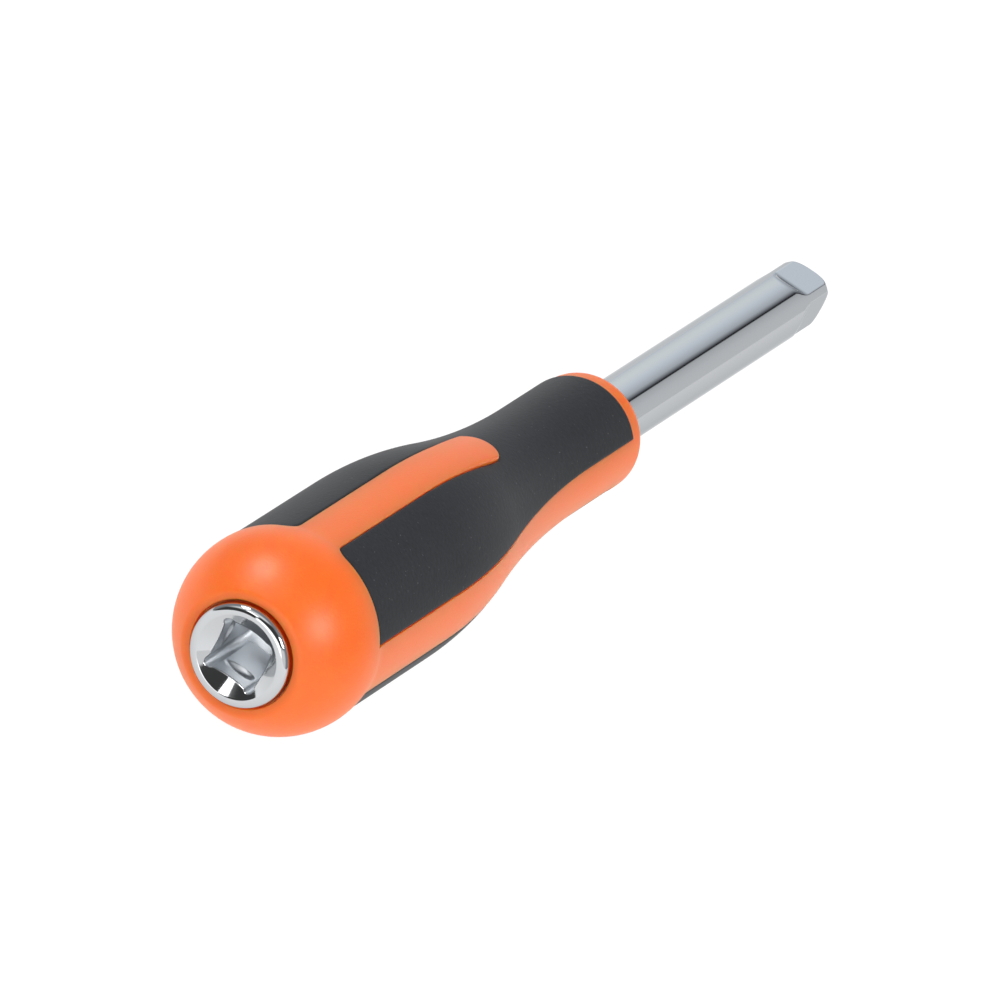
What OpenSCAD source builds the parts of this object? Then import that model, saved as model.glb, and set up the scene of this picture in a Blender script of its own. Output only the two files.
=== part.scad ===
// Spinner handle for square-drive sockets: a plated steel bar with a male drive square at its front
// and a female drive square at its rear, held in a hard plastic core with soft grip panels.
// The tool lies along X. The rear ring's face is at x = 0 and the drive tip points along +X.
// Both drive squares have their flats square to Y and Z.

/* [Drive bar] */
// Length of the tool, from the rear ring's face to the drive tip
overall_l = 150; // [145:1:165]
// Diameter of the round bar, which the corners of the drive square share
bar_d = 8; // [7.8:0.1:8.4]
// Male drive square, across its flats
drive_af = 6.35; // [6.2:0.05:6.4]
// Length of the drive square, from its shoulder to the tip
drive_l = 6.2; // [6:0.1:7.5]
// Slope of the run-out behind each flat, in degrees
runout_slope = 22; // [14:1:30]
// Rounding of the drive tip
tip_round = 1.3; // [0.8:0.1:1.5]

/* [Rear socket] */
// Outer diameter of the rear ring
ring_d = 12.4; // [12:0.1:13]
// Rounding of the ring's outer edge
ring_round = 0.7; // [0.3:0.1:0.9]
// Female drive square, across its flats
socket_af = 6.4; // [6.36:0.01:6.5]
// Rounding of the female square's corners
socket_corner = 0.2; // [0.1:0.1:0.6]
// Depth of the female square from the ring's face
socket_depth = 10.6; // [9:0.2:11]
// Diameter of the conical lead-in at the ring's face
lead_d = 10.1; // [9.4:0.1:10.4]
// Slope of the lead-in from the ring's face, in degrees
lead_slope = 35; // [30:1:45]
// Depth of the middle of the ball groove from the ring's face
groove_x = 3.8; // [3.4:0.1:5]

/* [Handle] */
// Front end of the moulded handle, from the ring's face
handle_l = 91.5; // [90:0.5:95]
// Radius of the ball-shaped butt
butt_r = 12.03; // [11.95:0.01:12.2]
// Centre of the ball-shaped butt, from the ring's face
butt_x = 10.68; // [10.4:0.01:10.8]
// How far the rear ring stands proud of the butt's flat
ring_proud = 1.2; // [1:0.1:1.4]
// Gap between the rear ring and the butt
ring_gap = 0.25; // [0.15:0.05:0.4]
// Diameter of the grip's straight stretch
grip_d = 23.62; // [23.2:0.02:23.8]
// Diameter of the neck
neck_d = 14.46; // [14:0.02:16]
// Where the grip starts to taper
shoulder_x = 33.8; // [31:0.1:36]
// Where the taper has run into the neck
waist_x = 77.2; // [74:0.1:80]
// Share of the taper that bulges outwards
bulge_share = 0.41; // [0.36:0.01:0.46]
// Rounding of the neck's front edge
rim_round = 1.8; // [1:0.1:2.5]
// Turn of the handle about the bar, against the drive squares, in degrees
handle_roll = -7.5; // [-45:0.5:45]

/* [Grip panels] */
// Rear edge of the soft panels
panel_rear_x = 12.15; // [11.5:0.05:14]
// Front edge of the soft panels
panel_front_x = 88.1; // [84:0.1:88.2]
// Thickness of the soft panels below the core's surface
panel_t = 1.8; // [1.2:0.1:2.2]
// Height of the soft panels above the core at the neck. They are flush with it at the grip
panel_proud = 0.15; // [0.05:0.05:0.25]
// Width of the hard stripe left along each side
stripe_w = 6.3; // [5:0.1:8]
// Width of the hard tongue that runs into each panel from the butt
tongue_w = 5.4; // [4.8:0.1:5.6]
// Where the tongue starts to widen
flare_x = 45; // [40:1:50]
// Front end of the tongue
tongue_x = 57.8; // [56:0.1:60]
// Radius of the tongue's bowed front end
tongue_end_r = 3; // [2.9:0.1:3.2]
// Half the angle that the bowed end spans, in degrees
tongue_end_a = 75; // [72:1:80]
// Radius of the arc in which the tongue's top falls, more gently than the taper beside it
tongue_fall_r = 120; // [110:5:140]
// Rounding of the panel's corners beside the tongue
panel_corner = 1; // [0.6:0.1:2]

/* [Detent] */
// Diameter of the detent ball
ball_d = 2.4; // [2.2:0.1:2.4]
// How far the ball stands out of its flat
ball_out = 0.45; // [0.35:0.05:0.5]
// Distance of the ball from the drive tip
ball_back = 3.3; // [3:0.1:3.6]
// Diameter of the spring's wire
wire_d = 0.32; // [0.25:0.01:0.35]
// Turns of the spring
spring_turns = 4.5; // [4:0.5:5]

/* [Hidden] */
$fn = 96;

// Bar: the head that holds the female square, its cone, the thicker seat that the core grips, which ends
// just inside the neck's mouth, and the flats that key the seat in the core
bar_r = bar_d/2;
ring_r = ring_d/2;
head_l = 14;
head_cone_l = 4;
seat_r = bar_r + 0.4;
seat_to_x = handle_l - 0.1;
key_af = 7;
key_from_x = 26;
key_to_x = 66;
drive_from_x = overall_l - drive_l;
drill_r = socket_af/2 - 0.05;
drill_l = socket_depth + 0.8;
drill_point = 118;
groove_r = 1;
groove_cut = 0.55;

// Handle: blends of the butt into its flat and into the grip, and the length of the taper
grip_r = grip_d/2;
neck_r = neck_d/2;
lip_round = 1.2;
lip_x = ring_proud + lip_round;
lip_r = sqrt(pow(butt_r - lip_round, 2) - pow(butt_x - lip_x, 2));
lip_a = atan2(lip_x - butt_x, lip_r);
blend_r = 6;
blend_dx = sqrt(pow(butt_r + blend_r, 2) - pow(grip_r + blend_r, 2));
blend_a = atan2(blend_dx, grip_r + blend_r);
taper_l = waist_x - shoulder_x;
clearance_l = 6;

// Tongue: the ridge that the panels leave standing, which starts below the core's surface at the shoulder
ridge_sunk = 0.03;
ridge_w = tongue_w + 2;
ridge_to_x = tongue_x + 1;
ridge_a = asin((ridge_to_x - shoulder_x)/tongue_fall_r);

// Detent: the stepped hole, with a mouth that keeps the ball in, and the spring behind the ball
ball_r = ball_d/2;
ball_x = overall_l - ball_back;
ball_y = drive_af/2 + ball_out - ball_r;
hole_r = ball_r + 0.05;
hole_floor = -2.2;
mouth_r = sqrt(ball_r*ball_r - pow(drive_af/2 - ball_y, 2)) + 0.07;
mouth_l = 0.42;
coil_r = hole_r - wire_d/2 - 0.25;
coil_from = hole_floor + wire_d/2 + 0.01;
coil_to = ball_y - sqrt(pow(ball_r + wire_d/2 + 0.02, 2) - coil_r*coil_r);
coil_steps = 12;
wire_sides = 6;

// Points along an arc, from angle a0 to angle a1
function arc(centre, r, a0, a1, steps = 8) =
    [for (i = [0:steps]) let (a = a0 + (a1 - a0)*i/steps) centre + r*[cos(a), sin(a)]];

// Points along the taper from the grip to a neck of radius r: an arc that bulges, then one that is hollow
function taper(r) =
    let (
        h = grip_r - r,
        both_r = (taper_l*taper_l + h*h)/(2*h),
        a = asin(taper_l/both_r),
        bulge_r = bulge_share*both_r,
        hollow_r = both_r - bulge_r
    )
    concat(
        arc([grip_r - bulge_r, shoulder_x], bulge_r, 0, a, 10),
        arc([r + hollow_r, waist_x], hollow_r, 180 + a, 180, 10)
    );

// Half section of the handle as [radius, x]: flat, ball, straight grip, taper, neck and rim
handle_section = concat(
    [[0, ring_proud]],
    arc([lip_r, lip_x], lip_round, -90, lip_a),
    arc([0, butt_x], butt_r, lip_a, blend_a, 16),
    arc([grip_r + blend_r, butt_x + blend_dx], blend_r, 180 + blend_a, 180, 4),
    taper(neck_r),
    arc([neck_r - rim_round, handle_l - rim_round], rim_round, 0, 90),
    [[0, handle_l]]
);

// Half section of the form that the panels' outsides lie on: straight from the rear, then the taper
panel_section = concat(
    [[0, panel_rear_x - 1], [grip_r, panel_rear_x - 1]],
    taper(neck_r + panel_proud),
    [[neck_r + panel_proud, panel_front_x + 1], [0, panel_front_x + 1]]
);

// Half section of the form that the tops of the tongues lie on in front of the shoulder
ridge_section = concat(
    [[0, shoulder_x]],
    arc([grip_r - ridge_sunk - tongue_fall_r, shoulder_x], tongue_fall_r, 0, ridge_a),
    [[0, ridge_to_x]]
);

// Half section of the bar as [radius, x]: ring, head, cone, seat, round bar and rounded tip
bar_section = concat(
    [[0, 0]],
    arc([ring_r - ring_round, ring_round], ring_round, -90, 0, 6),
    [[ring_r, head_l], [seat_r, head_l + head_cone_l], [seat_r, seat_to_x], [bar_r, seat_to_x]],
    arc([bar_r - tip_round, overall_l - tip_round], tip_round, 0, 90),
    [[0, overall_l]]
);

// One half of a panel's outline, seen from above its tongue, and the whole outline
panel_half = concat(
    [[panel_front_x, grip_d], [panel_rear_x, grip_d]],
    arc([panel_rear_x + panel_corner, tongue_w/2 + panel_corner], panel_corner, 180, 270, 6),
    [[flare_x, tongue_w/2]],
    arc([tongue_x - tongue_end_r, 0], tongue_end_r, tongue_end_a, 0)
);
panel_outline = concat(
    panel_half,
    [for (i = [len(panel_half) - 2:-1:0]) [panel_half[i].x, -panel_half[i].y]]
);

// Turns a form made about Z so that it lies along X
module along_x() {
    rotate([0, 90, 0]) children();
}

// The handle's form, drawn in by a depth below its surface
module handle_form(depth = 0) {
    along_x() rotate_extrude()
        polygon([for (p = handle_section) [p.x == 0 ? 0 : max(0, p.x - depth), p.y]]);
}

// The ridge of one tongue, wider than the tongue until the panel's pocket cuts its sides
module tongue_ridge(turn) {
    intersection() {
        along_x() rotate_extrude() polygon(ridge_section);
        rotate([handle_roll + turn, 0, 0]) translate([0, -ridge_w/2, 0])
            cube([overall_l, ridge_w, grip_d]);
    }
}

// The space above one side of the handle that a soft panel covers
module panel_zone(turn) {
    rotate([handle_roll + turn, 0, 0]) translate([0, 0, stripe_w/2])
        linear_extrude(grip_d) polygon(panel_outline);
}

// The turned bar, with two flats inside the handle that stop it turning in the core
module bar_blank() {
    key_l = key_to_x - key_from_x;
    difference() {
        along_x() rotate_extrude() polygon(bar_section);
        for (turn = [0, 180])
            rotate([turn, 0, 0]) translate([key_from_x, -bar_d, key_af/2]) cube([key_l, 2*bar_d, bar_d]);
    }
}

// What the cutter takes off for one flat of the male square, with its sloping run-out
module drive_flat() {
    flat_z = drive_af/2;
    above = bar_d;
    rotate([90, 0, 0]) linear_extrude(2*bar_d, center = true)
        polygon([
            [drive_from_x, flat_z],
            [overall_l + 1, flat_z],
            [overall_l + 1, flat_z + above],
            [drive_from_x - above/tan(runout_slope), flat_z + above]
        ]);
}

// The female square: broached hole, drilled end, conical lead-in and ball groove
module socket_hole() {
    half = socket_af/2 - socket_corner;
    lead_from = -0.5;
    lead_to = (lead_d/2 - drill_r/2)*tan(lead_slope);
    along_x() {
        translate([0, 0, -1]) linear_extrude(socket_depth + 1)
            polygon([for (a = [0:90:270])
                each arc(half*[cos(a) - sin(a), sin(a) + cos(a)], socket_corner, a, a + 90, 4)]);
        rotate_extrude()
            polygon([[0, -1], [drill_r, -1], [drill_r, drill_l], [0, drill_l + drill_r/tan(drill_point/2)]]);
        translate([0, 0, lead_from]) cylinder(
            h = lead_to - lead_from,
            r1 = lead_d/2 - lead_from/tan(lead_slope),
            r2 = lead_d/2 - lead_to/tan(lead_slope)
        );
        translate([0, 0, groove_x]) rotate_extrude()
            translate([socket_af/2 + groove_cut - groove_r, 0]) circle(groove_r);
    }
}

// The hole for ball and spring, drilled across the drive square and closed in at its mouth
module detent_hole() {
    flat_y = drive_af/2;
    translate([ball_x, 0, 0]) rotate([-90, 0, 0]) rotate_extrude()
        polygon([
            [0, hole_floor], [hole_r, hole_floor], [hole_r, flat_y - mouth_l],
            [mouth_r, flat_y], [mouth_r, flat_y + 1], [0, flat_y + 1]
        ]);
}

module drive_bar() {
    color([0.8, 0.82, 0.84]) difference() {
        bar_blank();
        for (turn = [0:90:270])
            rotate([turn, 0, 0]) drive_flat();
        socket_hole();
        detent_hole();
    }
}

module handle_core() {
    color([1, 0.45, 0.18]) difference() {
        union() {
            handle_form();
            for (turn = [0, 180])
                tongue_ridge(turn);
        }
        bar_blank();
        along_x() translate([0, 0, -1]) cylinder(h = clearance_l + 1, r = ring_r + ring_gap);
        for (turn = [0, 180])
            difference() {
                panel_zone(turn);
                handle_form(panel_t);
            }
    }
}

// One soft panel, filling its pocket in the core
module grip_panel(turn) {
    color([0.2, 0.21, 0.22]) intersection() {
        difference() {
            along_x() rotate_extrude() polygon(panel_section);
            handle_form(panel_t);
        }
        panel_zone(turn);
    }
}

module upper_grip() {
    grip_panel(0);
}

module lower_grip() {
    grip_panel(180);
}

module detent_ball() {
    color([0.7, 0.71, 0.73]) translate([ball_x, ball_y, 0]) sphere(ball_r);
}

// A coil of round wire from the hole's floor to the back of the ball
module detent_spring() {
    rings = round(coil_steps*spring_turns);
    rise = (coil_to - coil_from)/rings;
    points = [for (i = [0:rings], k = [0:wire_sides - 1])
        let (
            a = 360*i/coil_steps,
            b = 360*k/wire_sides,
            r = coil_r + wire_d/2*cos(b)
        )
        [r*cos(a), r*sin(a), coil_from + rise*i + wire_d/2*sin(b)]];
    sides = [for (i = [0:rings - 1], k = [0:wire_sides - 1])
        let (
            here = i*wire_sides,
            next = here + wire_sides,
            j = (k + 1) % wire_sides
        )
        each [[here + k, here + j, next + j], [here + k, next + j, next + k]]];
    caps = [for (k = [1:wire_sides - 2])
        let (last = rings*wire_sides)
        each [[0, k + 1, k], [last, last + k, last + k + 1]]];
    color([0.55, 0.56, 0.58]) translate([ball_x, 0, 0]) rotate([-90, 0, 0])
        polyhedron(points, concat(sides, caps));
}

drive_bar();
handle_core();
upper_grip();
lower_grip();
detent_ball();
detent_spring();
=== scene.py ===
# Spinner handle for square-drive sockets: a chrome-plated bar in a two-colour moulded handle.
# It lies along X with its rear ring's face at x = 0 and its drive tip towards +X, as in the frame.
# Lengths of the tool are millimetres, until a mesh turns them to metres. Lengths of the studio are metres.
import math

import bmesh
import bpy
import numpy as np
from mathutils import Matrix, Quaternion, Vector, kdtree


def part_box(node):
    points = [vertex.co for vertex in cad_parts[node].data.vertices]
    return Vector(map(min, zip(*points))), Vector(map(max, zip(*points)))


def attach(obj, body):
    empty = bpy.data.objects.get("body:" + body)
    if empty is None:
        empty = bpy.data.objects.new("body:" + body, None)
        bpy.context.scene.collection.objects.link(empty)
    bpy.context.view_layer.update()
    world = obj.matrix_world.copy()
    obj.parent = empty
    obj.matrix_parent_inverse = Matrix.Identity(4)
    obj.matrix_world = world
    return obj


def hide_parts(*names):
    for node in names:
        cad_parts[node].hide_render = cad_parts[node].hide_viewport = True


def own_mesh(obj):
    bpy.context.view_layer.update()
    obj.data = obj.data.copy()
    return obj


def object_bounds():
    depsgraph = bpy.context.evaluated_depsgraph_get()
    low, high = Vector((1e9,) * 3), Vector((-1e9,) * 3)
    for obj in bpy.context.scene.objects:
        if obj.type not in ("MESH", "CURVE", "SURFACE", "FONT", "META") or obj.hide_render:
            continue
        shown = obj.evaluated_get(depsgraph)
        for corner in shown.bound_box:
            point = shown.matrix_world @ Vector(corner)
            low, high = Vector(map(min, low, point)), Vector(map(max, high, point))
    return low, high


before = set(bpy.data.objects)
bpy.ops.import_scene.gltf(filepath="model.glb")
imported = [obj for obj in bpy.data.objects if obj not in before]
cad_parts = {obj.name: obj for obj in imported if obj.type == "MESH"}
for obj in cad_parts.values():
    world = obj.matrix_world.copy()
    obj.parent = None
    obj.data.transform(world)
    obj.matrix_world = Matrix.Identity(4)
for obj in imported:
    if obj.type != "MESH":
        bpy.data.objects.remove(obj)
cad_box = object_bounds()

# Drive bar
# One steel bar, turned, milled to a drive square at its tip and broached to another in its thicker head,
# then polished and plated with bright chrome, which rounds every edge. The handle is moulded round it.
MM = 0.001
# the round bar and the drive square milled at its tip
TIP_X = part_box("drive_bar")[1].x/MM
BAR_R = 4.0
TIP_ROUND = 1.3
DRIVE_AF = 6.35
SHOULDER_X = TIP_X - 6.2
SHOULDER_FILLET = 0.25
RUNOUT_SLOPE = math.tan(math.radians(22))
RUNOUT_L = 3.6
FLAT_EDGE = 0.1
RUNOUT_BLEND = 0.35
# the seat that the handle grips, and the head with its ring
NECK_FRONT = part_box("handle_core")[1].x/MM
SEAT_R = 4.4
SEAT_END = NECK_FRONT - 0.1
HEAD_R = 6.2
HEAD_L = 14.0
HEAD_CONE_L = 4.0
RING_L = 3.0
RING_ROUND = 0.95
# the female square: its lead-in cone, round lobes in its corners, ball groove and shallow conical end
LEAD_R = 5.05
LEAD_SLOPE = math.radians(35)
LEAD_ROUND = 0.25
SOCKET_AF = 6.4
SOCKET_DEPTH = 10.6
SOCKET_EDGE = 0.12
LOBE_R = 0.7
LOBE_REACH = 3.745  # from the axis to a lobe's centre
GROOVE_X = 3.8
GROOVE_R = 1.0
GROOVE_CUT = 0.55  # into the flats
END_CONE_R = 3.15
END_CONE_SLOPE = math.radians(15)
# the mesh, with more of its columns near the corners of the squares
BAR_COLUMNS = 320
CORNER_CROWDING = 0.6
WELD = 1e-4
SHARP_ANGLE = math.radians(35)


def smooth_min(a, b, width):
    """The smaller of two radii, with the edge between them rounded over a width."""
    share = np.clip(0.5 + 0.5*(b - a)/width, 0, 1)
    return b + (a - b)*share - width*share*(1 - share)


def smooth_max(a, b, width):
    """The larger of two radii, with the edge between them rounded over a width."""
    return -smooth_min(-a, -b, width)


def arc(centre, radius, start, stop, count):
    """Points (x, r) along an arc, with its angles in degrees from the X axis towards the outside."""
    angles = np.radians(np.linspace(start, stop, count + 1))
    return [(centre[0] + radius*math.cos(a), centre[1] + radius*math.sin(a)) for a in angles]


def steps(start, stop, pitch):
    """Evenly spaced stations from start to stop, both included, about a pitch apart."""
    return np.linspace(start, stop, max(2, round(abs(stop - start)/pitch) + 1))


def quad_rows(rows, columns):
    """Quads between neighbouring rows of a grid whose last column joins its first."""
    here = np.arange(rows*columns).reshape(rows, columns)
    beside = np.roll(here, -1, axis=1)
    return np.stack([here[:-1], here[1:], beside[1:], beside[:-1]], axis=-1).reshape(-1, 4)


def make_mesh(name, points, faces):
    """A smooth mesh from points in millimetres, with double and loose points taken out."""
    mesh = bpy.data.meshes.new(name)
    mesh.from_pydata((np.asarray(points)*MM).tolist(), [], np.asarray(faces).tolist())
    made = bmesh.new()
    made.from_mesh(mesh)
    bmesh.ops.remove_doubles(made, verts=made.verts, dist=WELD*MM)
    loose = [v for v in made.verts if not v.link_faces]
    bmesh.ops.delete(made, geom=loose, context="VERTS")
    bmesh.ops.recalc_face_normals(made, faces=made.faces)
    made.to_mesh(mesh)
    made.free()
    mesh.shade_smooth()
    mesh.set_sharp_from_angle(angle=SHARP_ANGLE)
    return mesh


def make_piece(mesh, material, body, node):
    """An object with that mesh and finish, riding on a body in place of a node."""
    piece = bpy.data.objects.new(mesh.name, mesh)
    bpy.context.scene.collection.objects.link(piece)
    mesh.materials.append(material)
    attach(piece, body)
    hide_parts(node)
    return piece


even = np.linspace(0, 2*math.pi, BAR_COLUMNS, endpoint=False)
bar_angle = even + CORNER_CROWDING*np.sin(4*even)/4
off_flat = np.abs((bar_angle + math.pi/4) % (math.pi/2) - math.pi/4)


def drive_flats(x):
    """Radius to the four milled flats, which run out up a slope behind their shoulder."""
    rise = smooth_max((SHOULDER_X - x)*RUNOUT_SLOPE, 0, SHOULDER_FILLET)
    return (DRIVE_AF/2 + rise)/np.cos(off_flat)


def flat_edge(x):
    """Rounding of the edges round a flat, which fades into the bar along its run-out."""
    return FLAT_EDGE + (RUNOUT_BLEND - FLAT_EDGE)*np.clip(SHOULDER_X - x, 0, 1)


def socket_wall(x):
    """Radius of the broached square with a lobe in each corner, its lead-in cone and its ball groove."""
    half = SOCKET_AF/2
    off_corner = math.pi/4 - off_flat
    lobe = LOBE_R**2 - (LOBE_REACH*np.sin(off_corner))**2
    lobe = LOBE_REACH*np.cos(off_corner) + np.sqrt(np.maximum(lobe, 0))
    lobe_side = LOBE_REACH*math.cos(math.pi/4)
    lobe_start = math.atan((lobe_side - math.sqrt(LOBE_R**2 - (half - lobe_side)**2))/half)
    square = np.where(off_flat > lobe_start, lobe, half/np.cos(off_flat))
    cone = LEAD_R - x/math.tan(LEAD_SLOPE)
    groove = half + GROOVE_CUT - GROOVE_R + math.sqrt(max(GROOVE_R**2 - (x - GROOVE_X)**2, 0))
    return smooth_max(smooth_max(square, cone, SOCKET_EDGE), groove, SOCKET_EDGE)


# Rows (x, r) of the turned outside, from the tip to the ring. Each stretch of the bar has its own pitch,
# which is finest round the shoulder of the flats.
turned = [(TIP_X, r) for r in (0, 0.9, 1.8, 2.4)]
turned += arc((TIP_X - TIP_ROUND, BAR_R - TIP_ROUND), TIP_ROUND, 0, 90, 14)
for start, stop, pitch in (
        (TIP_X - TIP_ROUND - 0.1, SHOULDER_X + 0.4, 0.12),
        (SHOULDER_X + 0.35, SHOULDER_X - 0.35, 0.05),
        (SHOULDER_X - 0.45, SHOULDER_X - RUNOUT_L, 0.1),
        (SHOULDER_X - RUNOUT_L - 0.4, SEAT_END, 3)):
    turned += [(x, BAR_R) for x in steps(start, stop, pitch)]
turned += [(SEAT_END, SEAT_R), (HEAD_L + HEAD_CONE_L, SEAT_R), (HEAD_L, HEAD_R), (RING_L, HEAD_R)]
turned += arc((RING_ROUND, HEAD_R - RING_ROUND), RING_ROUND, 90, 180, 14)
turned += arc((LEAD_ROUND, LEAD_R + LEAD_ROUND*math.tan(LEAD_SLOPE/2)), LEAD_ROUND, 180, 215, 6)

# Depths of the rows inside the female square, crowded at its lead-in and its groove, and its conical end
inside = [*steps(0.1, 1.6, 0.04), 1.8, *steps(2.2, 2.6, 0.2), *steps(2.7, 4.9, 0.09)]
inside += [*steps(5.2, SOCKET_DEPTH, 0.6)]
dished = [(SOCKET_DEPTH + (END_CONE_R - r)*math.tan(END_CONE_SLOPE), r)
          for r in (END_CONE_R, END_CONE_R/2, 0)]

bar_rows = [(x, smooth_min(r, drive_flats(x), flat_edge(x))) for x, r in turned]
bar_rows += [(x, socket_wall(x)) for x in inside]
bar_rows += [(x, np.full(BAR_COLUMNS, r)) for x, r in dished]
bar_points = np.concatenate([
    np.stack([np.full(BAR_COLUMNS, x), -r*np.sin(bar_angle), r*np.cos(bar_angle)], axis=-1)
    for x, r in bar_rows])
bar_mesh = make_mesh("chrome_drive_bar", bar_points, quad_rows(len(bar_rows), BAR_COLUMNS))


def linear(code):
    """A linear colour from an sRGB hex code."""
    values = [int(code[i:i + 2], 16)/255 for i in (1, 3, 5)]
    return [v/12.92 if v <= 0.04045 else ((v + 0.055)/1.055)**2.4 for v in values] + [1]


def add_node(tree, kind, inputs=None, **settings):
    """One shader node with its settings, and its inputs set to values or linked to outputs."""
    node = tree.nodes.new("ShaderNode" + kind)
    for name, value in settings.items():
        setattr(node, name, value)
    for name, value in (inputs or {}).items():
        if isinstance(value, bpy.types.NodeSocket):
            tree.links.new(value, node.inputs[name])
        else:
            node.inputs[name].default_value = value
    return node


def start_material(name):
    """A bare material with its tree, its surface shader and its places in the frame."""
    material = bpy.data.materials.new(name)
    material.use_nodes = True
    tree = material.node_tree
    shader = tree.nodes["Principled BSDF"]
    place = add_node(tree, "TexCoord").outputs["Object"]
    return material, tree, shader, place


# Bright chrome over polished steel: a mirror with the faintest haze on ring, bar and drive square. The
# broach leaves the walls of the female square satin, so they blur what they mirror, and the end behind them
# is a little smoother. The walls, and the end most of all, are also painted paler than chrome can be: this
# is painted light in the deep socket. The walls lie near the axis, in the head and past the lead-in cone.
WALLS_WITHIN = 4.6
WALL_FADE = 0.2
WALLS_BEHIND = 20.0
HEAD_FADE = 10.0
LEAD_FADE = (0.05, 0.2)
END_FADE = 0.2
chrome, tree, shader, place = start_material("Bright_chrome_plating")
shader.inputs["Metallic"].default_value = 1.0
shader.inputs["Specular Tint"].default_value = linear("#D6D8DA")
along = add_node(tree, "SeparateXYZ", {"Vector": place}).outputs["X"]
round_axis = add_node(tree, "VectorMath", {0: place, 1: (0, 1, 1)}, operation="MULTIPLY").outputs["Vector"]
off_axis = add_node(tree, "VectorMath", {0: round_axis}, operation="LENGTH").outputs["Value"]
in_bore = add_node(tree, "MapRange", {
    "Value": off_axis, "From Min": (WALLS_WITHIN + WALL_FADE)*MM,
    "From Max": WALLS_WITHIN*MM}).outputs["Result"]
in_head = add_node(tree, "MapRange", {
    "Value": along, "From Min": (WALLS_BEHIND + HEAD_FADE)*MM,
    "From Max": WALLS_BEHIND*MM}).outputs["Result"]
# all along the lead-in cone, this sum is the same, and it grows with the depth behind the cone
lead = math.tan(LEAD_SLOPE)
from_lead = add_node(tree, "Math", {0: off_axis, 1: lead, 2: along}, operation="MULTIPLY_ADD")
past_lead = add_node(tree, "MapRange", {
    "Value": from_lead.outputs["Value"], "From Min": (LEAD_R*lead + LEAD_FADE[0])*MM,
    "From Max": (LEAD_R*lead + LEAD_FADE[1])*MM}).outputs["Result"]
in_wall = add_node(tree, "Math", {0: in_bore, 1: in_head}, operation="MULTIPLY").outputs["Value"]
broached_and_painted_light = add_node(tree, "Math", {0: in_wall, 1: past_lead}, operation="MULTIPLY").outputs["Value"]
at_end = add_node(tree, "MapRange", {
    "Value": along, "From Min": (SOCKET_DEPTH - END_FADE)*MM,
    "From Max": SOCKET_DEPTH*MM}).outputs["Result"]
# painted light: the socket walls are painted paler than the chrome, and their end palest as a painted
# highlight
painted_wall_light = add_node(tree, "MixRGB", {"Fac": at_end, "Color1": linear("#EAEDF0"), "Color2": linear("#F0F2F4")})
chrome_and_painted_light = add_node(tree, "MixRGB", {
    "Fac": broached_and_painted_light, "Color1": linear("#C1C3C5"), "Color2": painted_wall_light.outputs["Color"]})
tree.links.new(chrome_and_painted_light.outputs["Color"], shader.inputs["Base Color"])
haze = add_node(tree, "TexNoise", {"Vector": place, "Scale": 1/(1.5*MM), "Detail": 3.0})
polish = add_node(tree, "MapRange", {"Value": haze.outputs["Fac"], "To Min": 0.05, "To Max": 0.1})
scored = add_node(tree, "MapRange", {"Value": at_end, "To Min": 0.32, "To Max": 0.25})
rough = add_node(tree, "MapRange", {
    "Value": broached_and_painted_light, "To Min": polish.outputs["Result"], "To Max": scored.outputs["Result"]})
tree.links.new(rough.outputs["Result"], shader.inputs["Roughness"])
drive_bar = make_piece(bar_mesh, chrome, "tool", "drive_bar")

# Detent ball and spring
# A hardened bearing ball that holds a socket on, and the coil spring that presses it out. They sit in a
# hole drilled across the drive square, whose closed-in mouth keeps the ball from falling out.
ball_lo, ball_hi = (np.array(corner)/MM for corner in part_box("detent_ball"))
ball_centre = (ball_lo + ball_hi)/2
BALL_R = (ball_hi[0] - ball_lo[0])/2
HOLE_PLAY = 0.05
HOLE_R = BALL_R + HOLE_PLAY
HOLE_FLOOR = -2.2
FLAT_Y = DRIVE_AF/2
MOUTH_L = 0.42
MOUTH_PLAY = 0.07
MOUTH_R = math.sqrt(BALL_R**2 - (FLAT_Y - ball_centre[1])**2) + MOUTH_PLAY
CUT_TOP = FLAT_Y + 1
HOLE_COLUMNS = 64

hole_section = [(HOLE_FLOOR, 0), (HOLE_FLOOR, HOLE_R), (FLAT_Y - MOUTH_L, HOLE_R), (FLAT_Y, MOUTH_R),
                (CUT_TOP, MOUTH_R), (CUT_TOP, 0)]
round_hole = np.linspace(0, 2*math.pi, HOLE_COLUMNS, endpoint=False)
hole_points = np.concatenate([
    np.stack([ball_centre[0] + r*np.cos(round_hole), np.full(HOLE_COLUMNS, y),
              r*np.sin(round_hole)], axis=-1)
    for y, r in hole_section])
drill_mesh = make_mesh("drill", hole_points, quad_rows(len(hole_section), HOLE_COLUMNS))
drill = bpy.data.objects.new("drill", drill_mesh)
bpy.context.scene.collection.objects.link(drill)
cut = drive_bar.modifiers.new("detent_hole", "BOOLEAN")
cut.object = drill
cut.solver = "EXACT"
drilled_bar = drive_bar.evaluated_get(bpy.context.evaluated_depsgraph_get())
drive_bar.data = bpy.data.meshes.new_from_object(drilled_bar)
drive_bar.modifiers.clear()
bpy.data.objects.remove(drill)
drive_bar.data.set_sharp_from_angle(angle=SHARP_ANGLE)

BALL_ROWS = 32
ball_rows = np.linspace(0, math.pi, BALL_ROWS + 1)
ball_points = np.concatenate([
    ball_centre + BALL_R*np.stack([np.sin(a)*np.cos(round_hole), np.full(HOLE_COLUMNS, np.cos(a)),
                                   np.sin(a)*np.sin(round_hole)], axis=-1)
    for a in ball_rows])
ball_mesh = make_mesh("steel_detent_ball", ball_points, quad_rows(len(ball_rows), HOLE_COLUMNS))
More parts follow.
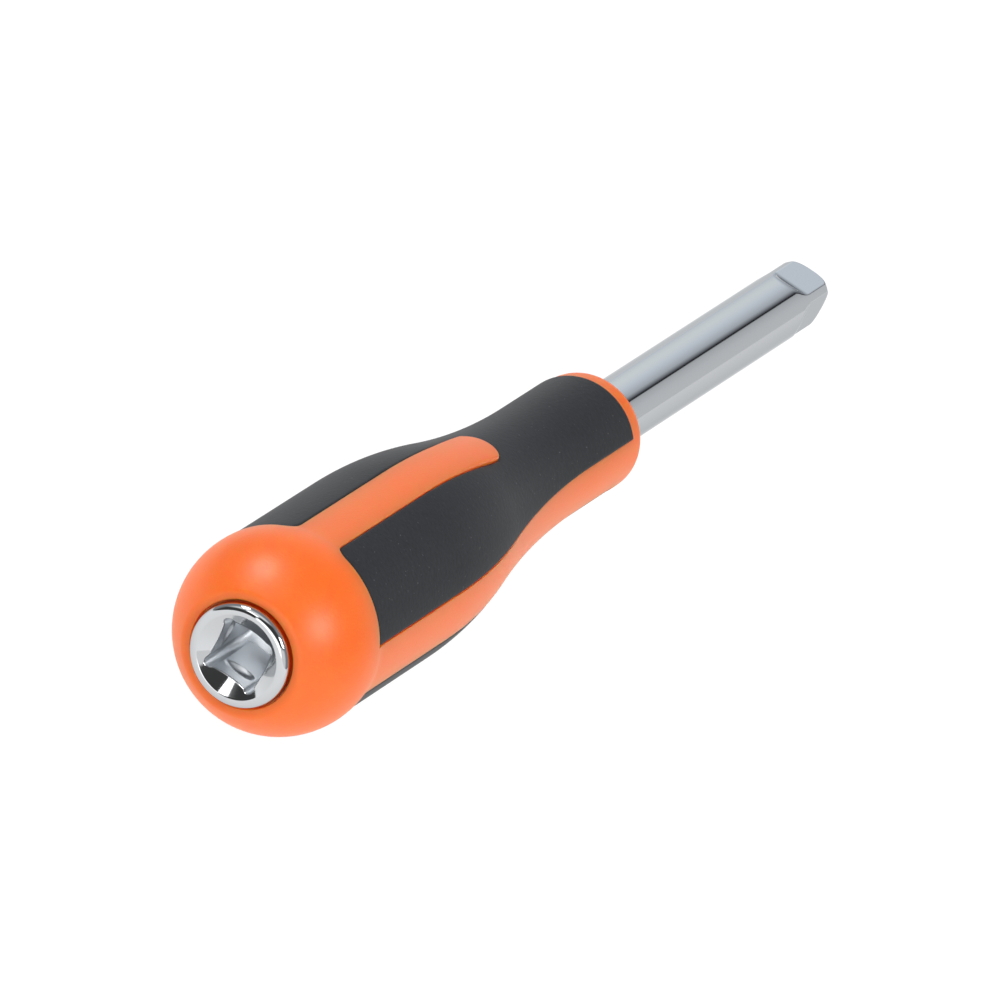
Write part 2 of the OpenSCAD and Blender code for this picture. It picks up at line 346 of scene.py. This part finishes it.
# Bearing steel: ground and lapped to a bright grey mirror, a little duller than the chrome round it.
bearing_steel, tree, shader, place = start_material("Lapped_bearing_steel")
shader.inputs["Base Color"].default_value = linear("#B9BABB")
shader.inputs["Metallic"].default_value = 1.0
lapping = add_node(tree, "TexNoise", {"Vector": place, "Scale": 1/(0.15*MM), "Detail": 2.0})
gloss = add_node(tree, "MapRange", {"Value": lapping.outputs["Fac"], "To Min": 0.1, "To Max": 0.18})
tree.links.new(gloss.outputs["Result"], shader.inputs["Roughness"])
make_piece(ball_mesh, bearing_steel, "detent", "detent_ball")

spring_lo, spring_hi = (np.array(corner)/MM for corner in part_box("detent_spring"))
WIRE_R = 0.16
COIL_R = (spring_hi[0] - spring_lo[0])/2 - WIRE_R
COIL_TURNS = 4.5
COIL_STEPS = 36
WIRE_SIDES = 12
coil_turn = np.linspace(0, 2*math.pi*COIL_TURNS, round(COIL_TURNS*COIL_STEPS) + 1)
coil_y = np.linspace(spring_lo[1] + WIRE_R, spring_hi[1] - WIRE_R, len(coil_turn))
wire_turn = np.linspace(0, 2*math.pi, WIRE_SIDES, endpoint=False)
# the wire's ends are rounded off over their last two rings
wire_r = np.full(len(coil_turn), WIRE_R)
wire_r[[0, 1, -2, -1]] = WIRE_R*np.array([0, 0.8, 0.8, 0])
reach = COIL_R + wire_r[:, None]*np.cos(wire_turn)
spring_points = np.stack([
    ball_centre[0] + reach*np.cos(coil_turn)[:, None],
    coil_y[:, None] + wire_r[:, None]*np.sin(wire_turn),
    -reach*np.sin(coil_turn)[:, None]], axis=-1).reshape(-1, 3)
spring_mesh = make_mesh("detent_coil_spring", spring_points, quad_rows(len(coil_turn), WIRE_SIDES))
# Spring wire: drawn steel, whose draw lines are too fine to see one by one and leave it a dull grey.
spring_wire, tree, shader, place = start_material("Drawn_spring_wire")
shader.inputs["Base Color"].default_value = linear("#8F9092")
shader.inputs["Metallic"].default_value = 1.0
draw_lines = add_node(tree, "TexNoise", {"Vector": place, "Scale": 1/(0.05*MM), "Detail": 2.0})
dulled = add_node(tree, "MapRange", {"Value": draw_lines.outputs["Fac"], "To Min": 0.3, "To Max": 0.42})
tree.links.new(dulled.outputs["Result"], shader.inputs["Roughness"])
spring = make_piece(spring_mesh, spring_wire, "tool", "detent_spring")
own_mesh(spring)

# Handle core
# The hard part of the handle, moulded round the bar in orange polypropylene: ball-shaped butt, a tongue
# down the middle of each soft panel, a stripe along each side and the rim at the neck.
HANDLE_ROLL = math.radians(-7.5)  # against the flats of the bar
# the ball-shaped butt, with a gap round the ring
BUTT_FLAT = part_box("handle_core")[0].x/MM
BUTT_R = 12.03
BUTT_X = 10.68
RING_GAP = 0.25
RING_HOLE_R = HEAD_R + RING_GAP
RING_HOLE_END = 1.9
HOLE_EDGE = 0.15
LIP_ROUND = 1.2
BLEND_R = 6.0
# the straight grip, the S-shaped taper and the neck
GRIP_R = 11.81
GRIP_END = 33.8
NECK_R = 7.23
NECK_START = 77.2
TAPER_L = NECK_START - GRIP_END
BULGE_SHARE = 0.41
RIM_ROUND = 1.8
MOUTH_EDGE = 0.3
BORE_GAP = 0.02
# the tongues and the panels round them
PANEL_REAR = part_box("upper_grip")[0].x/MM
PANEL_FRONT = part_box("upper_grip")[1].x/MM
PANEL_PROUD = 0.27
PANEL_DEPTH = 1.8
TONGUE_FALL_R = 120.0

lip_x = BUTT_FLAT + LIP_ROUND
lip_r = math.sqrt((BUTT_R - LIP_ROUND)**2 - (BUTT_X - lip_x)**2)
lip_angle = math.degrees(math.atan2(lip_r, lip_x - BUTT_X))
blend_x = BUTT_X + math.sqrt((BUTT_R + BLEND_R)**2 - (GRIP_R + BLEND_R)**2)
blend_start = BUTT_X + (blend_x - BUTT_X)*BUTT_R/(BUTT_R + BLEND_R)


def arc_fall(x, start, radius):
    """How far an arc that leaves a line level at start has fallen from it at x."""
    return radius - np.sqrt(np.maximum(radius**2 - (x - start)**2, 0))


def taper_radius(x, neck_r):
    """Straight grip, an arc that bulges, an arc that is hollow, and the neck."""
    height = GRIP_R - neck_r
    both_r = (TAPER_L**2 + height**2)/(2*height)
    bulge = GRIP_R - arc_fall(x, GRIP_END, BULGE_SHARE*both_r)
    hollow = neck_r + arc_fall(x, NECK_START, (1 - BULGE_SHARE)*both_r)
    ends = [x < GRIP_END, x < GRIP_END + BULGE_SHARE*TAPER_L, x < NECK_START]
    return np.select(ends, [GRIP_R, bulge, hollow], neck_r)


def core_radius(x):
    """Radius of the hard core: the ball, its blend into the grip, and the taper."""
    ball = np.sqrt(np.maximum(BUTT_R**2 - (x - BUTT_X)**2, 0))
    blend = GRIP_R + arc_fall(x, blend_x, BLEND_R)
    return np.select([x < blend_start, x < blend_x], [ball, blend], taper_radius(x, NECK_R))


def tongue_radius(x):
    """Radius of a tongue's top, which falls more gently than the taper and so stands out of it."""
    return np.maximum(core_radius(x), GRIP_R - arc_fall(np.maximum(x, GRIP_END), GRIP_END, TONGUE_FALL_R))


def panel_radius(x):
    """Radius of the soft panels, which are flush with the core at the grip and proud of it at the neck."""
    return taper_radius(x, NECK_R + PANEL_PROUD)


# The seams between the hard core and the soft panels. Two of them are rounded in plan: the panel's corner
# at the tongue's root and the tongue's front end. Lines along the handle follow the first half of each
# rounding and lines round the handle follow the rest.
STRIPE_HALF = 3.15
TONGUE_HALF = 2.7
FLARE_X = 45.0
TONGUE_END = 57.8
END_R = 2.75
END_ANGLE = math.radians(75)
PANEL_CORNER = 1.6
HALF_WAY = math.sqrt(0.5)
SEAM_LINES = np.array([0.05, 0.12, 0.2, 0.3, 0.45, 0.7])
SEAM_REACH = SEAM_LINES[-1]
ROW_PITCH = 0.6
BUTT_PITCH = 0.4
BEND_REACH = 6.0
TONGUE_COLUMNS = 6
PANEL_COLUMNS = 34
STRIPE_COLUMNS = 6

end_centre = TONGUE_END - END_R
flare_end = end_centre + END_R*math.cos(END_ANGLE)
corner_turn = PANEL_CORNER*(1 - HALF_WAY)


def tongue_half(x):
    """Half the width of the tongue: wide at its root, parallel, flared, and drawn in round its end."""
    corner_end = PANEL_REAR + PANEL_CORNER
    root = arc_fall(np.clip(x, PANEL_REAR + corner_turn, corner_end), corner_end, PANEL_CORNER)
    flare = np.clip((x - FLARE_X)/(flare_end - FLARE_X), 0, 1)
    straight = TONGUE_HALF + root + (END_R*math.sin(END_ANGLE) - TONGUE_HALF)*flare
    end = END_R - arc_fall(np.clip(x, flare_end, end_centre + END_R*HALF_WAY), end_centre, END_R)
    return np.where(x < flare_end, straight, end)


def seam_to_seam(start, stop):
    """Stations between two seams, crowded at both."""
    middle = steps(start + SEAM_REACH, stop - SEAM_REACH, ROW_PITCH)
    return [start, *(start + SEAM_LINES[:-1]), *middle, *(stop - SEAM_LINES[-2::-1])]


rear = [(RING_HOLE_END, RING_HOLE_R)]
rear += arc((BUTT_FLAT + HOLE_EDGE, RING_HOLE_R + HOLE_EDGE), HOLE_EDGE, 270, 180, 5)
rear += arc((lip_x, lip_r), LIP_ROUND, 180, lip_angle, 10)
rear += arc((BUTT_X, 0), BUTT_R, lip_angle, 95, 26)[1:]
side = [*steps(rear[-1][0], PANEL_REAR - SEAM_REACH, BUTT_PITCH)[1:-1], *(PANEL_REAR - SEAM_LINES[::-1])]
rear_row = len(rear) + len(side)
side += seam_to_seam(PANEL_REAR, TONGUE_END)
end_row = len(rear) + len(side)
side += seam_to_seam(TONGUE_END, PANEL_FRONT)
front_row = len(rear) + len(side)
side += [PANEL_FRONT, *(PANEL_FRONT + SEAM_LINES)]
front = arc((NECK_FRONT - RIM_ROUND, NECK_R - RIM_ROUND), RIM_ROUND, 90, 0, 14)
front += arc((NECK_FRONT - MOUTH_EDGE, BAR_R + BORE_GAP + MOUTH_EDGE), MOUTH_EDGE, 0, -90, 5)
front += [(SEAT_END, BAR_R + BORE_GAP), (SEAT_END, SEAT_R + BORE_GAP)]
front += [(HEAD_L + HEAD_CONE_L, SEAT_R + BORE_GAP), (HEAD_L, HEAD_R + BORE_GAP)]
front += [(RING_HOLE_END, HEAD_R + BORE_GAP)]
row_x, row_r = np.array(rear + [(x, 0) for x in side] + front).T[..., None]
row_count = len(row_x)
row = np.arange(row_count)[:, None]
on_side = (row >= len(rear)) & (row < len(rear) + len(side))

# Each column of a quarter turn, from the tongue's middle to the stripe's: its shares of the tongue's,
# the panel's and the stripe's angle, and its distance from the nearest seam along the surface
inner = SEAM_LINES[-2::-1]
quarter = [(f, 0, 0, -f*SEAM_REACH) for f in np.linspace(0, 1, TONGUE_COLUMNS)]
quarter += [(1, 0, 0, -d) for d in inner] + [(1, 0, 0, 0)]
tongue_column = len(quarter) - 1
quarter += [(1, 0, 0, d) for d in inner[::-1]]
quarter += [(1, f, 0, SEAM_REACH*(1 - 2*f)) for f in np.linspace(0, 1, PANEL_COLUMNS)]
quarter += [(1, 1, 0, -d) for d in inner] + [(1, 1, 0, 0)]
stripe_column = len(quarter) - 1
quarter += [(1, 1, 0, d) for d in inner[::-1]]
quarter += [(1, 1, f, SEAM_REACH*(1 - f)) for f in np.linspace(0, 1, STRIPE_COLUMNS)]
of_tongue, of_panel, of_stripe, off_seam = np.array(quarter).T
last = len(quarter) - 1


def quarter_angles(x):
    """Each column's angle from the tongue's middle and its distance from the tongue's edge, at each x."""
    x = np.clip(x, PANEL_REAR, PANEL_FRONT)
    r = panel_radius(x)
    tongue = np.arcsin(tongue_half(x)/r)
    stripe = np.arccos(STRIPE_HALF/r)
    angle = tongue*of_tongue + (stripe - tongue)*of_panel + (math.pi/2 - stripe)*of_stripe + off_seam/r
    return angle, (angle - tongue)*r, r*np.sin(angle)


# Rows bend forwards round the panel's corner and backwards round the tongue's end
angle, from_edge, across = quarter_angles(row_x)
in_tongue = np.clip(1 + from_edge/TONGUE_HALF, 0, 1)
corner_bend = arc_fall(np.clip(from_edge + corner_turn, 0, PANEL_CORNER), PANEL_CORNER, PANEL_CORNER)
corner_bend = np.where(from_edge < 0, corner_turn*in_tongue, corner_bend)
end_bend = arc_fall(np.minimum(across, END_R*HALF_WAY), 0, END_R)
end_bend *= np.clip(1 - np.maximum(from_edge, 0)/BEND_REACH, 0, 1)
near_rear = np.clip(1 - np.abs(row_x - PANEL_REAR)/BEND_REACH, 0, 1)
near_end = np.clip(1 - np.abs(row_x - TONGUE_END)/BEND_REACH, 0, 1)
bent_x = row_x + on_side*(corner_bend*near_rear - end_bend*near_end)
angle = quarter_angles(bent_x)[0]

# The whole turn is four quarters, every other one mirrored
turn_column = np.array([*range(last), *range(last, 0, -1)]*2)
column_count = len(turn_column)
grid_x = bent_x[:, turn_column]
grid_angle = np.concatenate([
    angle[:, :last], math.pi - angle[:, last:0:-1],
    math.pi + angle[:, :last], 2*math.pi - angle[:, last:0:-1]], axis=1)
SLOPE_STEP = 0.01


def lay_grid(radius_of, drop=0.0):
    """The grid's points on a turned surface, or a drop below it along the surface's normal."""
    slope = on_side*(radius_of(grid_x + SLOPE_STEP) - radius_of(grid_x - SLOPE_STEP))/(2*SLOPE_STEP)
    level = np.sqrt(1 + slope**2)
    reach = np.where(on_side, radius_of(grid_x), row_r) - drop/level
    turned_by = grid_angle + HANDLE_ROLL
    return np.stack([grid_x + drop*slope/level, -reach*np.sin(turned_by), reach*np.cos(turned_by)], axis=-1)


cell_column = np.minimum(turn_column, np.roll(turn_column, -1))
soft = (row >= rear_row) & (row < front_row) & (cell_column < stripe_column)
soft &= (cell_column >= tongue_column) | (row >= end_row)
on_tongue = on_side & (row <= end_row) & (turn_column <= tongue_column)

# How far each point is from the nearest seam, where neighbouring cells differ
soft_round = sum(np.roll(soft, shift, (0, 1)).astype(int) for shift in ((0, 0), (1, 0), (0, 1), (1, 1)))
on_seam = (soft_round > 0) & (soft_round < 4)
surface = lay_grid(panel_radius)
seam_points = [surface[on_seam]]
for axis in (0, 1):
    pair = on_seam & np.roll(on_seam, -1, axis)
    seam_points += [surface[pair]*(1 - f) + np.roll(surface, -1, axis)[pair]*f for f in (0.25, 0.5, 0.75)]
seam_points = np.concatenate(seam_points)
seam_tree = kdtree.KDTree(len(seam_points))
for i, p in enumerate(seam_points):
    seam_tree.insert(p, i)
seam_tree.balance()
to_seam = np.array([seam_tree.find(p)[2] for p in surface.reshape(-1, 3)]).reshape(row_count, column_count)


def edge_drop(radius):
    """How far a rounded edge of that radius has fallen away, by the distance from the seam."""
    return arc_fall(np.maximum(radius - to_seam, 0), 0, radius)


CORE_EDGE = 0.06
TONGUE_EDGE = 0.35
tongue_lift = tongue_radius(grid_x) - core_radius(grid_x)
tongue_edge = CORE_EDGE + (TONGUE_EDGE - CORE_EDGE)*np.clip(tongue_lift/TONGUE_EDGE, 0, 1)
core_top = np.where(on_tongue[..., None], lay_grid(tongue_radius, edge_drop(tongue_edge)),
                    lay_grid(core_radius, edge_drop(CORE_EDGE)))
pocket = lay_grid(lambda x: core_radius(x) - PANEL_DEPTH)

here = np.arange(row_count*column_count).reshape(row_count, column_count)
below = row_count*column_count


def cell_corners(cells):
    """The four grid points round each of these cells."""
    ahead, beside = np.roll(here, -1, 0), np.roll(here, -1, 1)
    return np.stack([here, ahead, np.roll(ahead, -1, 1), beside], axis=-1)[cells]


def wall_corners(cells):
    """A wall from the surface down to the pocket's floor, all along the edge of these cells."""
    walls = []
    for axis in (0, 1):
        edge = cells != np.roll(cells, 1, axis)
        start, stop = here[edge], np.roll(here, -1, 1 - axis)[edge]
        walls.append(np.stack([start, stop, stop + below, start + below], axis=-1))
    return np.concatenate(walls)


core_faces = np.concatenate([cell_corners(~soft), cell_corners(soft) + below, wall_corners(soft)])
core_points = np.concatenate([core_top.reshape(-1, 3), pocket.reshape(-1, 3)])
core_mesh = make_mesh("orange_handle_core", core_points, core_faces)
# Polypropylene, moulded in a spark-eroded mould: a satin skin, paler where it is seen at a low angle. Light
# soaks some millimetres into it and comes out redder, so the gap round the ring and the seams glow a deep
# red. The mould's grain of about 0.1 mm is too fine to show, so it is drawn at 0.3 mm.
polypropylene, tree, shader, place = start_material("Moulded_orange_polypropylene")
shader.inputs["Base Color"].default_value = linear("#EE6C12")
shader.inputs["Roughness"].default_value = 0.41
grain = add_node(tree, "TexNoise", {"Vector": place, "Scale": 1/(0.3*MM), "Detail": 2.0})
bump = add_node(tree, "Bump", {"Height": grain.outputs["Fac"], "Strength": 1.0, "Distance": 0.03*MM})
tree.links.new(bump.outputs["Normal"], shader.inputs["Normal"])
shader.inputs["Subsurface Weight"].default_value = 0.9
shader.inputs["Subsurface Radius"].default_value = (1.0, 0.2, 0.05)
shader.inputs["Subsurface Scale"].default_value = 4.0*MM
make_piece(core_mesh, polypropylene, "tool", "handle_core")

# Grip panels
# Two soft panels of black thermoplastic elastomer, moulded into pockets of the core in a second shot.
# Each wraps half the handle round its tongue with a rounded edge. The upper one stands proud at the neck.
PANEL_EDGE = 0.4
FLUSH_UNDER = 0.05
panel_top = lay_grid(panel_radius, edge_drop(PANEL_EDGE))
flush_top = lay_grid(lambda x: taper_radius(x, NECK_R - FLUSH_UNDER), edge_drop(PANEL_EDGE))
# Thermoplastic elastomer, moulded against a blasted mould: a matt black skin, faintly cloudy, with a soft
# sheen at low angles and pale specks of the dust that it holds. The specks are real grains of about 0.1 mm,
# too fine to show, so they are drawn at 0.3 mm.
elastomer, tree, shader, place = start_material("Moulded_black_elastomer")
mottle = add_node(tree, "TexNoise", {"Vector": place, "Scale": 1/(0.5*MM), "Detail": 3.0})
tone = add_node(tree, "MixRGB", {
    "Fac": mottle.outputs["Fac"], "Color1": linear("#17191D"), "Color2": linear("#25272B")})
dust = add_node(tree, "TexNoise", {"Vector": place, "Scale": 1/(0.3*MM), "Detail": 0.0})
speck = add_node(tree, "MapRange", {
    "Value": dust.outputs["Fac"], "From Min": 0.79, "From Max": 0.89, "To Max": 0.45})
skin = add_node(tree, "MixRGB", {
    "Fac": speck.outputs["Result"], "Color1": tone.outputs["Color"], "Color2": linear("#66686B")})
tree.links.new(skin.outputs["Color"], shader.inputs["Base Color"])
bump = add_node(tree, "Bump", {"Height": mottle.outputs["Fac"], "Strength": 1.0, "Distance": 0.03*MM})
tree.links.new(bump.outputs["Normal"], shader.inputs["Normal"])
shader.inputs["Roughness"].default_value = 0.65
shader.inputs["Specular IOR Level"].default_value = 0.2
shader.inputs["Sheen Weight"].default_value = 0.12
shader.inputs["Sheen Roughness"].default_value = 0.4
on_upper = (np.arange(column_count) < last) | (np.arange(column_count) >= 3*last)
for node, cells, top in (("upper_grip", soft & on_upper, panel_top),
                         ("lower_grip", soft & ~on_upper, flush_top)):
    panel_faces = np.concatenate([cell_corners(cells), cell_corners(cells) + below, wall_corners(cells)])
    panel_points = np.concatenate([top.reshape(-1, 3), pocket.reshape(-1, 3)])
    panel_mesh = make_mesh("soft_" + node, panel_points, panel_faces)
    make_piece(panel_mesh, elastomer, "tool", node)

# Studio
# A plain pale floor under the tool, softboxes above and in front of it, a white tent beyond it, and a
# camera with a long lens that looks along it from the butt.
CAMERA_AIM = Vector((0.06606, -0.00117, -0.00056))
CAMERA_DISTANCE = 2.0478
CAMERA_AZIMUTH = math.radians(-75.21)
CAMERA_ELEVATION = math.radians(27.91)
CAMERA_ROLL = math.radians(27.54)
CAMERA_LENS = 641.3
level = math.cos(CAMERA_ELEVATION)
back = Vector((math.sin(CAMERA_AZIMUTH)*level, -math.cos(CAMERA_AZIMUTH)*level, math.sin(CAMERA_ELEVATION)))
camera = bpy.data.objects.new("camera", bpy.data.cameras.new("camera"))
bpy.context.scene.collection.objects.link(camera)
camera.data.lens = CAMERA_LENS
camera.data.clip_end = 20
camera.location = CAMERA_AIM + back*CAMERA_DISTANCE
camera.rotation_mode = "QUATERNION"
camera.rotation_quaternion = (-back).to_track_quat("-Z", "Y") @ Quaternion((0, 0, 1), CAMERA_ROLL)
bpy.context.scene.camera = camera

FLOOR_HALF = 3.0
floor_z = cad_box[0].z
floor_mesh = bpy.data.meshes.new("floor")
corners_2d = [(-1, -1), (1, -1), (1, 1), (-1, 1)]
floor_mesh.from_pydata([(x*FLOOR_HALF, y*FLOOR_HALF, floor_z) for x, y in corners_2d], [], [(0, 1, 2, 3)])
floor = bpy.data.objects.new("floor", floor_mesh)
bpy.context.scene.collection.objects.link(floor)
# Opal acrylic of a light table: lit from below, so that the tool leaves no shadow on it. It is brighter in
# front of the butt, where the ring mirrors it.
opal, tree, shader, place = start_material("Opal_light_table")
shader.inputs["Base Color"].default_value = linear("#3C3C3C")
shader.inputs["Roughness"].default_value = 0.8
shader.inputs["Emission Color"].default_value = linear("#FFFFFF")
forward = add_node(tree, "SeparateXYZ", {"Vector": place}).outputs["X"]
lamp_side = add_node(tree, "MapRange", {
    "Value": forward, "From Min": -20*MM, "From Max": 10*MM, "To Min": 1.12, "To Max": 0.97})
tree.links.new(lamp_side.outputs["Result"], shader.inputs["Emission Strength"])
floor_mesh.materials.append(opal)

# Beyond the tool is a white tent. It has one dark gap, which draws the thin dark line along the chrome.
# The room behind the camera is light below and dark above, up to the ceiling. The lead-in cone mirrors
# that room.
TENT_AXIS = (0, 0.866, 0.5)
UP_AXIS = (0, 0.454, 0.891)
TENT_TONES = [(-1, "#DDDEDF"), (-0.44, "#DDDEDF"), (-0.2, "#D5D7D9"), (-0.05, "#C9CBCD"),
              (0.04, "#BCBEC0"), (0.055, "#202124"), (0.085, "#2A2B2E"), (0.12, "#6C6F75"),
              (0.22, "#BEC3C9"), (0.43, "#E5ECF5"), (0.52, "#FAFFFF"), (1, "#FAFFFF")]
ROOM_TONES = [(-1, "#ECECEC"), (0.02, "#ECECEC"), (0.1, "#424242"), (0.7, "#424242"), (0.82, "#FFFFFF"),
              (1, "#FFFFFF")]
SIDE_TONE = "#8E9094"
ROOM_STRENGTH = 1.22


def add_tones(tree, axis, tones):
    """A ramp of tones by how far a direction points along an axis, from -1 to 1."""
    way = add_node(tree, "TexCoord").outputs["Generated"]
    along = add_node(tree, "VectorMath", {0: way, 1: axis}, operation="DOT_PRODUCT")
    share = add_node(tree, "MapRange", {"Value": along.outputs["Value"], "From Min": -1.0})
    ramp = add_node(tree, "ValToRGB", {"Fac": share.outputs["Result"]})
    stops = ramp.color_ramp.elements
    for reach, code in tones:
        stop = stops.new((reach + 1)/2)
        stop.color = linear(code)
    stops.remove(stops[0])
    stops.remove(stops[-1])
    return ramp.outputs["Color"]


world = bpy.data.worlds.new("studio")
bpy.context.scene.world = world
world.use_nodes = True
tree = world.node_tree
way = add_node(tree, "TexCoord").outputs["Generated"]
ahead = add_node(tree, "SeparateXYZ", {"Vector": way}).outputs["X"]
beside = add_node(tree, "MapRange", {"Value": ahead, "From Min": -0.4, "From Max": -0.1})
before = add_node(tree, "MapRange", {"Value": ahead, "From Min": 0.55, "From Max": 0.75})
room = add_node(tree, "MixRGB", {
    "Fac": beside.outputs["Result"], "Color1": add_tones(tree, UP_AXIS, ROOM_TONES),
    "Color2": linear(SIDE_TONE)})
seen = add_node(tree, "MixRGB", {
    "Fac": before.outputs["Result"], "Color1": room.outputs["Color"],
    "Color2": add_tones(tree, TENT_AXIS, TENT_TONES)})
tree.links.new(seen.outputs["Color"], tree.nodes["Background"].inputs["Color"])
tree.nodes["Background"].inputs["Strength"].default_value = ROOM_STRENGTH


def add_softbox(name, towards, distance, width, height, radiance):
    """A rectangular softbox that faces the tool from a direction and glows with an even radiance."""
    lamp = bpy.data.lights.new(name, "AREA")
    lamp.shape = "RECTANGLE"
    lamp.size, lamp.size_y = width, height
    lamp.energy = radiance*math.pi*width*height
    softbox = bpy.data.objects.new(name, lamp)
    bpy.context.scene.collection.objects.link(softbox)
    towards = Vector(towards).normalized()
    softbox.location = CAMERA_AIM + towards*distance
    softbox.rotation_mode = "QUATERNION"
    softbox.rotation_quaternion = towards.to_track_quat("Z", "Y")


# Two small bright ones for the highlights on the butt, and two wide dim ones that the female square mirrors
add_softbox("overhead", (-0.134, 0.612, 0.78), distance=1.5, width=0.34, height=0.34, radiance=27.0)
add_softbox("right", (-0.297, -0.692, 0.658), distance=1.5, width=0.3, height=0.44, radiance=25.0)
add_softbox("window", (-0.704, 0.352, 0.615), distance=3.0, width=0.9, height=0.5, radiance=3.5)
add_softbox("front", (-0.97, -0.12, 0.17), distance=1.6, width=1.2, height=0.7, radiance=2.2)

bpy.context.scene.view_settings.view_transform = "Standard"
